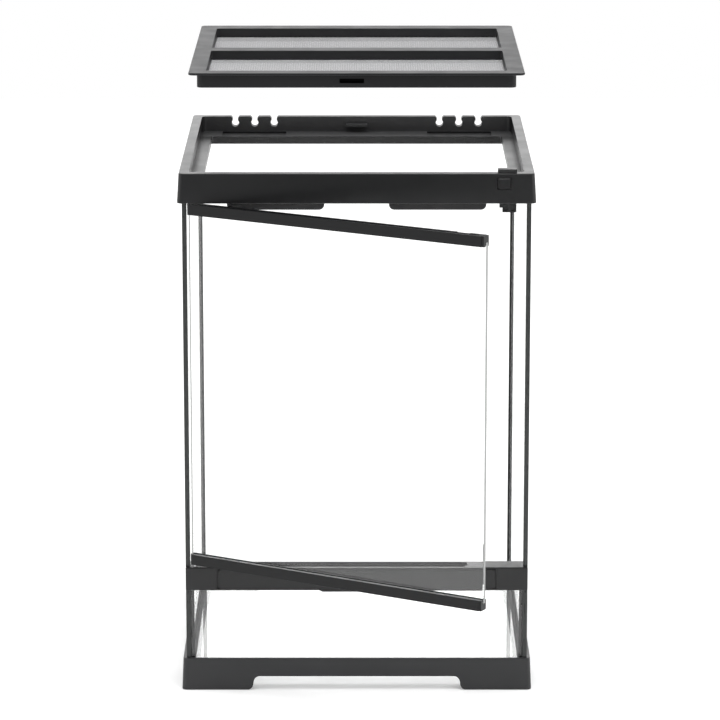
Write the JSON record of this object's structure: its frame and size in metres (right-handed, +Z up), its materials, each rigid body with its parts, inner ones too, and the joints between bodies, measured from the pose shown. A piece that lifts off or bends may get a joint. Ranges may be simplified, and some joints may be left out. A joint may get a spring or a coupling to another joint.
{
  "type": "glass terrarium",
  "caption": "Front-opening glass terrarium with black plastic frames, a hinged glass door, a vent bar and a lift-off mesh lid.",
  "frame": {"origin": "on the surface that the base stands on, under the middle of the whole model's box as it rests; the open door makes the whole deeper at the front, so the middle of the tank itself is 67.6 mm behind the origin, towards +Y", "axes": "+Z up, -Y towards the front with the door, +X to the right as seen from the front"},
  "size_m": [0.3, 0.4351, 0.533],
  "materials": {
    "frame_plastic": "satin charcoal black with a fine grain",
    "lid_plastic": "satin charcoal black with a fine grain",
    "dark_plastic": "satin black",
    "glass": "clear float glass with ground edges",
    "silicone": "black silicone",
    "wire_mesh": "fine woven wire",
    "steel": "plain drawn wire and pin stock"
  },
  "bodies": {
    "root": {"base_frame": "frame_plastic", "floor_glass": "glass", "left_glass": "glass", "right_glass": "glass", "rear_glass": "glass", "front_lower_glass": "glass", "seal_rear_left": "silicone", "seal_rear_right": "silicone", "seal_front_left": "silicone", "seal_front_right": "silicone", "floor_seal": "silicone", "vent_bar": "frame_plastic", "vent_cover": "frame_plastic", "vent_mesh": "dark_plastic", "top_frame": "frame_plastic", "door_stop_left": "dark_plastic", "door_stop_right": "dark_plastic", "hinge_bush_top": "dark_plastic", "hinge_bush_bottom": "dark_plastic", "latch_cover": "dark_plastic", "latch_spring": "steel"},
    "door": {"door_glass": "glass", "door_top_rail": "frame_plastic", "door_bottom_rail": "frame_plastic", "door_end_cap_top": "frame_plastic", "door_end_cap_bottom": "frame_plastic", "hinge_pin_top": "steel", "hinge_pin_bottom": "steel"},
    "lid": {"lid_frame": "lid_plastic", "lid_mesh_front": "wire_mesh", "lid_mesh_rear": "wire_mesh", "mesh_clamp_front": "lid_plastic", "mesh_clamp_rear": "lid_plastic"},
    "latch": {"latch_button": "frame_plastic", "door_latch": "dark_plastic"},
    "lock": {"lock_slider": "dark_plastic"},
    "gate_left": {"cable_gate_left": "frame_plastic"},
    "gate_right": {"cable_gate_right": "frame_plastic"}
  },
  "joints": [
    {"name": "door_hinge", "type": "hinge", "parent": "root", "child": "door", "pos_m": [-0.138, -0.07853, 0.1092], "axis": [0, 0, -1], "range_deg": [-29.4, 80.6]},
    {"name": "lid_lift", "type": "slide", "parent": "root", "child": "lid", "axis": [0, 0, 1], "range_m": [-0.083, 0.067]},
    {"name": "button_press", "type": "slide", "parent": "root", "child": "latch", "axis": [0, 1, 0], "range_m": [0, 0.0025], "stiffness_N_per_m": 400, "springref_m": -0.002, "deforming": ["latch_spring"]},
    {"name": "lock_slide", "type": "slide", "parent": "root", "child": "lock", "axis": [1, 0, 0], "range_m": [-0.006, 0]},
    {"name": "gate_left_slide", "type": "slide", "parent": "root", "child": "gate_left", "axis": [1, 0, 0], "range_m": [0, 0.0088]},
    {"name": "gate_right_slide", "type": "slide", "parent": "root", "child": "gate_right", "axis": [-1, 0, 0], "range_m": [0, 0.0088]}
  ]
}
